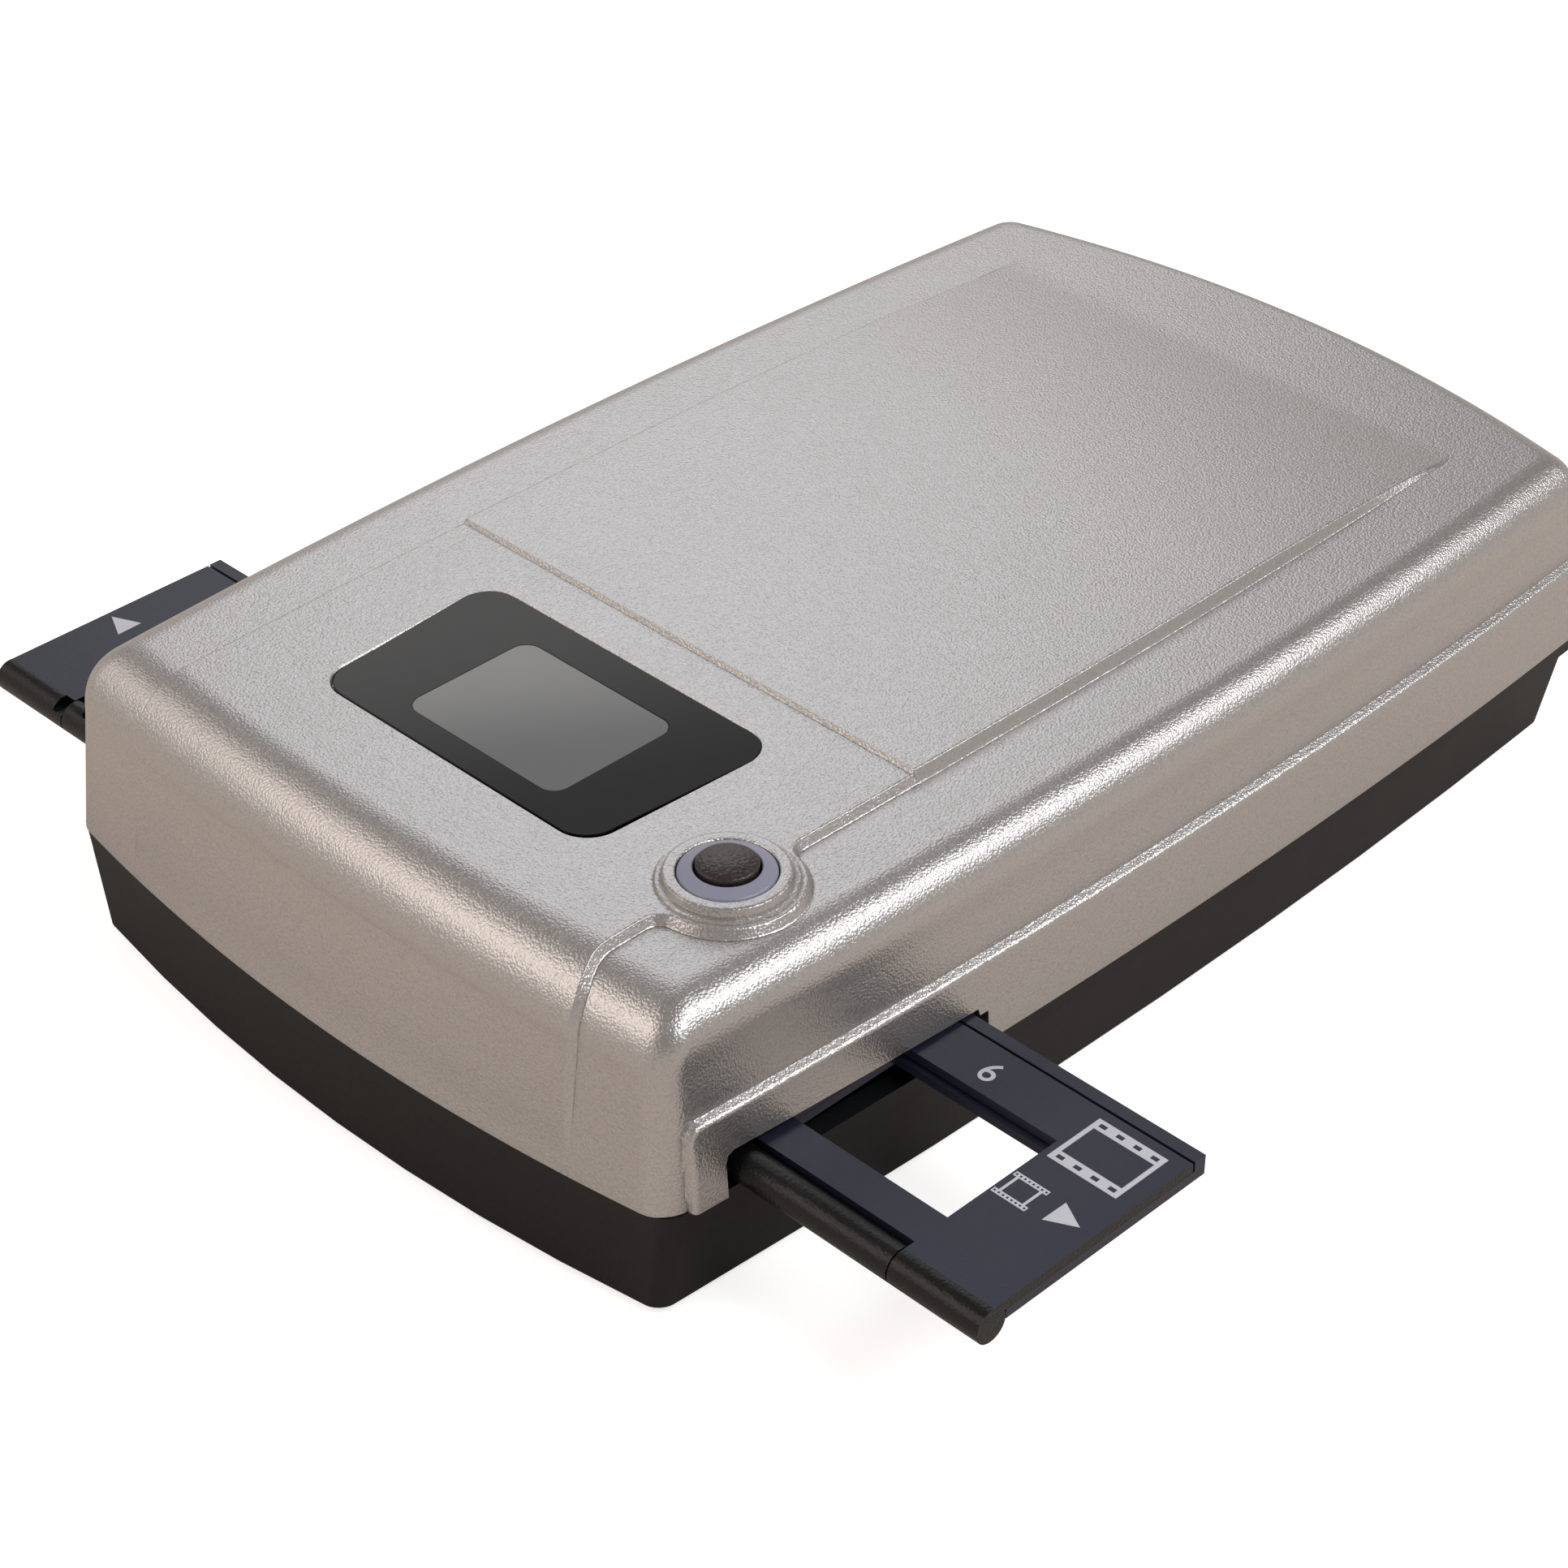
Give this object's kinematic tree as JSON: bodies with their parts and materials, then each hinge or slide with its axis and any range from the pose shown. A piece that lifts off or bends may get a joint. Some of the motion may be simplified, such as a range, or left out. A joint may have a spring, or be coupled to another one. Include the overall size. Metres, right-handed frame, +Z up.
{
  "type": "film strip scanner",
  "caption": "Flat desktop scanner for film strips: a hinged film holder slides crosswise through the housing, over a scan carriage on rods.",
  "frame": {"origin": "on the table plane, under the middle of the overall footprint, which is the middle of the film holder's length at rest", "axes": "+Z up, +Y from the front end with the button to the rear end with the sockets, +X along the film holder's travel, to the right seen from the front"},
  "size_m": [0.2628, 0.2756, 0.069],
  "materials": {
    "base_plastic": "matte, fine texture",
    "cover_paint": "satin champagne paint with a fine grain",
    "plate_gloss": "polished",
    "window_pane": "smooth, translucent grey",
    "ring_plastic": "translucent, satin",
    "button_plastic": "satin",
    "board_green": "solder mask",
    "black_plastic": "moulded",
    "foot_rubber": "matte",
    "screw_steel": "zinc plated",
    "track_plastic": "moulded",
    "spring_steel": "rolled",
    "white_plastic": "diffusing white",
    "chassis_sheet": "zinc plated sheet",
    "rod_steel": "ground",
    "bronze": "sintered",
    "motor_can": "plated",
    "brass_gear": "cut",
    "gear_plastic": "natural",
    "carriage_plastic": "glass filled",
    "front_mirror": "first surface",
    "lens": "coated",
    "socket_shell": "tinned",
    "holder_plastic": "fine texture",
    "lid_plastic": "fine texture"
  },
  "bodies": {
    "body": {"base_shell": "base_plastic", "top_cover": "cover_paint", "window_plate": "plate_gloss", "light_window": "window_pane", "button_light_ring": "ring_plastic", "button_board": "board_green", "button_switch": "black_plastic", "rubber_feet": "foot_rubber", "case_screws": "screw_steel", "lower_film_track": "track_plastic", "upper_film_track": "track_plastic", "track_screws": "screw_steel", "detent_spring": "spring_steel", "lamp_housing": "white_plastic", "lamp_diffuser": "white_plastic", "lamp_board": "white_plastic", "chassis": "chassis_sheet", "chassis_screws": "screw_steel", "left_guide_rod": "rod_steel", "right_guide_rod": "rod_steel", "screw_bearings": "bronze", "drive_motor": "motor_can", "main_board": "board_green", "board_screws": "screw_steel", "usb_socket": "socket_shell", "power_jack": "black_plastic", "power_switch": "black_plastic"},
    "scan_button": {"scan_button": "button_plastic"},
    "power_rocker": {"power_rocker": "black_plastic"},
    "carriage": {"carriage_frame": "carriage_plastic", "carriage_nut": "gear_plastic", "rod_bushings": "bronze", "scan_mirror": "front_mirror", "mirror_clips": "spring_steel", "lens_barrel": "black_plastic", "lens_glass": "lens", "sensor_board": "board_green", "line_sensor": "black_plastic"},
    "lead_screw": {"lead_screw": "rod_steel", "screw_gear": "gear_plastic"},
    "motor_pinion": {"motor_pinion": "brass_gear"},
    "film_holder": {"holder_base": "holder_plastic", "holder_lid": "lid_plastic", "hinge_pins": "screw_steel"}
  },
  "joints": [
    {"name": "holder_slide", "type": "slide", "parent": "body", "child": "film_holder", "axis": [1, 0, 0], "range_m": [-0.0997, 0.0903]},
    {"name": "scan_button_press", "type": "slide", "parent": "body", "child": "scan_button", "axis": [0, 0, -1], "range_m": [0, 0.0008], "stiffness_N_per_m": 800, "springref_m": -0.0008},
    {"name": "power_rocker_tilt", "type": "hinge", "parent": "body", "child": "power_rocker", "pos_m": [0.01985, 0.1202, 0.01115], "axis": [0, 0, 1], "range_deg": [0, 14]},
    {"name": "carriage_slide", "type": "slide", "parent": "body", "child": "carriage", "axis": [0, 1, 0], "range_m": [-0.013, 0.013]},
    {"name": "lead_screw_spin", "type": "hinge", "parent": "body", "child": "lead_screw", "pos_m": [-0.05015, 0.05, 0.0169], "axis": [0, 1, 0], "range_deg": [-1170.1, 1170.1]},
    {"name": "motor_pinion_spin", "type": "hinge", "parent": "body", "child": "motor_pinion", "pos_m": [-0.06375, 0.076, 0.0169], "axis": [0, 1, 0], "range_deg": [-5148.4, 5148.4]}
  ],
  "couplings": [
    {"joint": "lead_screw_spin", "follows": "carriage_slide", "rad_per_m": -1570.8},
    {"joint": "motor_pinion_spin", "follows": "carriage_slide", "rad_per_m": 6911.5}
  ]
}
